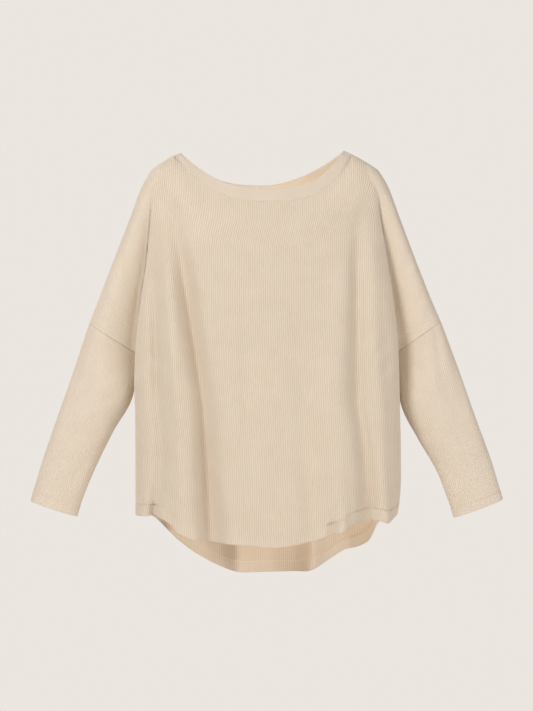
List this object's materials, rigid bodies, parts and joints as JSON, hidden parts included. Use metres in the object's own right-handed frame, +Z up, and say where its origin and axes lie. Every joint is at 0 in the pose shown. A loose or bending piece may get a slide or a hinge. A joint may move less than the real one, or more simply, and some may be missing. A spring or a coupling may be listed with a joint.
{
  "type": "thermal base layer top",
  "caption": "Wide boat-neck rib-knit pullover with dropped shoulders, tapered long sleeves and a curved hem that is longer at the back, filled out with no wearer.",
  "frame": {"origin": "between the two neck points, at shoulder height, where a wearer's neck and shoulders hold the garment up", "axes": "+Z up, the garment's front faces -Y, +X is on the viewer's right from the front"},
  "size_m": [0.7806, 0.2208, 0.7071],
  "materials": {
    "rib_knit": "matte cream cotton thermal rib knit",
    "plain_knit": "matte cream cotton plain knit"
  },
  "bodies": {
    "root": {"front": "rib_knit", "back": "rib_knit", "sleeve_left": "rib_knit", "sleeve_right": "rib_knit", "neckband": "plain_knit"}
  },
  "joints": []
}
